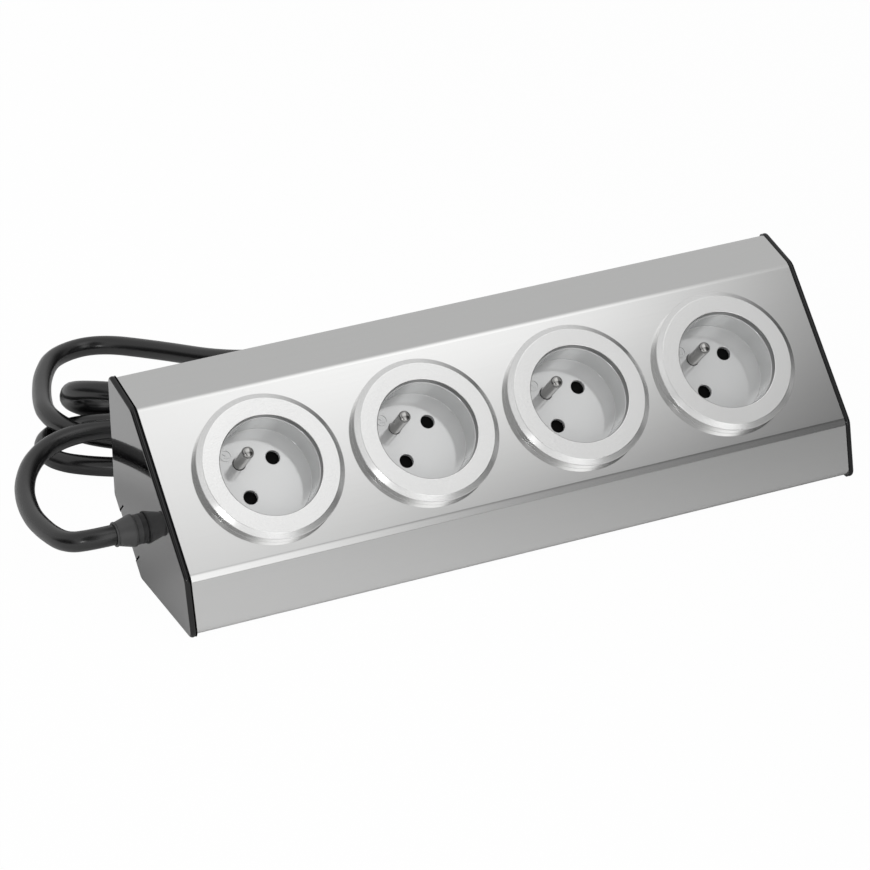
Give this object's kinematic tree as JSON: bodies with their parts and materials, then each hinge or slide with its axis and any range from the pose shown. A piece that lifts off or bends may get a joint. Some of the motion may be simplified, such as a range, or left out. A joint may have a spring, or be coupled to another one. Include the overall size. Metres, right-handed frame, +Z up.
{
  "type": "furniture power strip",
  "caption": "Bent steel power strip with sloping face, round earthed sockets with sliding shutters, black end caps and a coiled mains lead with plug.",
  "frame": {"origin": "middle of the housing's footprint, on the surface it stands on", "axes": "+X along the strip away from the lead, +Y towards the wall, +Z up"},
  "size_m": [0.3265, 0.2352, 0.0768],
  "materials": {
    "face_steel": "polished stainless sheet",
    "tray_steel": "plain stainless sheet",
    "cap_gloss": "glossy black moulding",
    "bezel_plastic": "smooth light grey",
    "cup_plastic": "glossy light grey",
    "nickel": "nickel plated",
    "zinc_steel": "zinc plated",
    "contact_brass": "plain brass",
    "shutter_plastic": "matt light grey",
    "insulator_plastic": "matt light grey",
    "live_insulation": "brown insulation",
    "neutral_insulation": "blue insulation",
    "earth_insulation": "green and yellow insulation",
    "gland_plastic": "satin black",
    "plug_plastic": "satin black",
    "cable_sheath": "satin black sheath"
  },
  "bodies": {
    "housing": {"cover": "face_steel", "base_tray": "tray_steel", "cover_screws": "zinc_steel", "end_cap_left": "cap_gloss", "end_cap_right": "cap_gloss", "bezel_1": "bezel_plastic", "socket_cup_1": "cup_plastic", "retaining_clip_1": "zinc_steel", "socket_base_1": "insulator_plastic", "contact_clips_1": "contact_brass", "earth_pin_1": "nickel", "rear_cover_1": "insulator_plastic", "bezel_2": "bezel_plastic", "socket_cup_2": "cup_plastic", "retaining_clip_2": "zinc_steel", "socket_base_2": "insulator_plastic", "contact_clips_2": "contact_brass", "earth_pin_2": "nickel", "rear_cover_2": "insulator_plastic", "bezel_3": "bezel_plastic", "socket_cup_3": "cup_plastic", "retaining_clip_3": "zinc_steel", "socket_base_3": "insulator_plastic", "contact_clips_3": "contact_brass", "earth_pin_3": "nickel", "rear_cover_3": "insulator_plastic", "bezel_4": "bezel_plastic", "socket_cup_4": "cup_plastic", "retaining_clip_4": "zinc_steel", "socket_base_4": "insulator_plastic", "contact_clips_4": "contact_brass", "earth_pin_4": "nickel", "rear_cover_4": "insulator_plastic", "live_wires": "live_insulation", "neutral_wires": "neutral_insulation", "earth_wires": "earth_insulation", "earth_stud": "zinc_steel", "earth_nut": "zinc_steel", "cable_gland": "gland_plastic", "gland_nut": "gland_plastic", "cord_clamp_base": "gland_plastic", "cord_clamp_strap": "gland_plastic", "cord_clamp_screws": "zinc_steel", "cable_entry": "cable_sheath", "plug_body": "plug_plastic", "plug_pins": "nickel", "plug_earth_contacts": "contact_brass", "cable": "cable_sheath", "cable_hank": "cable_sheath", "cable_tail": "cable_sheath"},
    "shutter_plate_1": {"shutter_1": "shutter_plastic"},
    "shutter_plate_2": {"shutter_2": "shutter_plastic"},
    "shutter_plate_3": {"shutter_3": "shutter_plastic"},
    "shutter_plate_4": {"shutter_4": "shutter_plastic"}
  },
  "joints": [
    {"name": "shutter_slide_1", "type": "slide", "parent": "housing", "child": "shutter_plate_1", "axis": [-0.7071, 0.5, 0.5], "range_m": [0, 0.0064], "stiffness_N_per_m": 60, "springref_m": -0.003},
    {"name": "shutter_slide_2", "type": "slide", "parent": "housing", "child": "shutter_plate_2", "axis": [-0.7071, 0.5, 0.5], "range_m": [0, 0.0064], "stiffness_N_per_m": 60, "springref_m": -0.003},
    {"name": "shutter_slide_3", "type": "slide", "parent": "housing", "child": "shutter_plate_3", "axis": [-0.7071, 0.5, 0.5], "range_m": [0, 0.0064], "stiffness_N_per_m": 60, "springref_m": -0.003},
    {"name": "shutter_slide_4", "type": "slide", "parent": "housing", "child": "shutter_plate_4", "axis": [-0.7071, 0.5, 0.5], "range_m": [0, 0.0064], "stiffness_N_per_m": 60, "springref_m": -0.003}
  ]
}
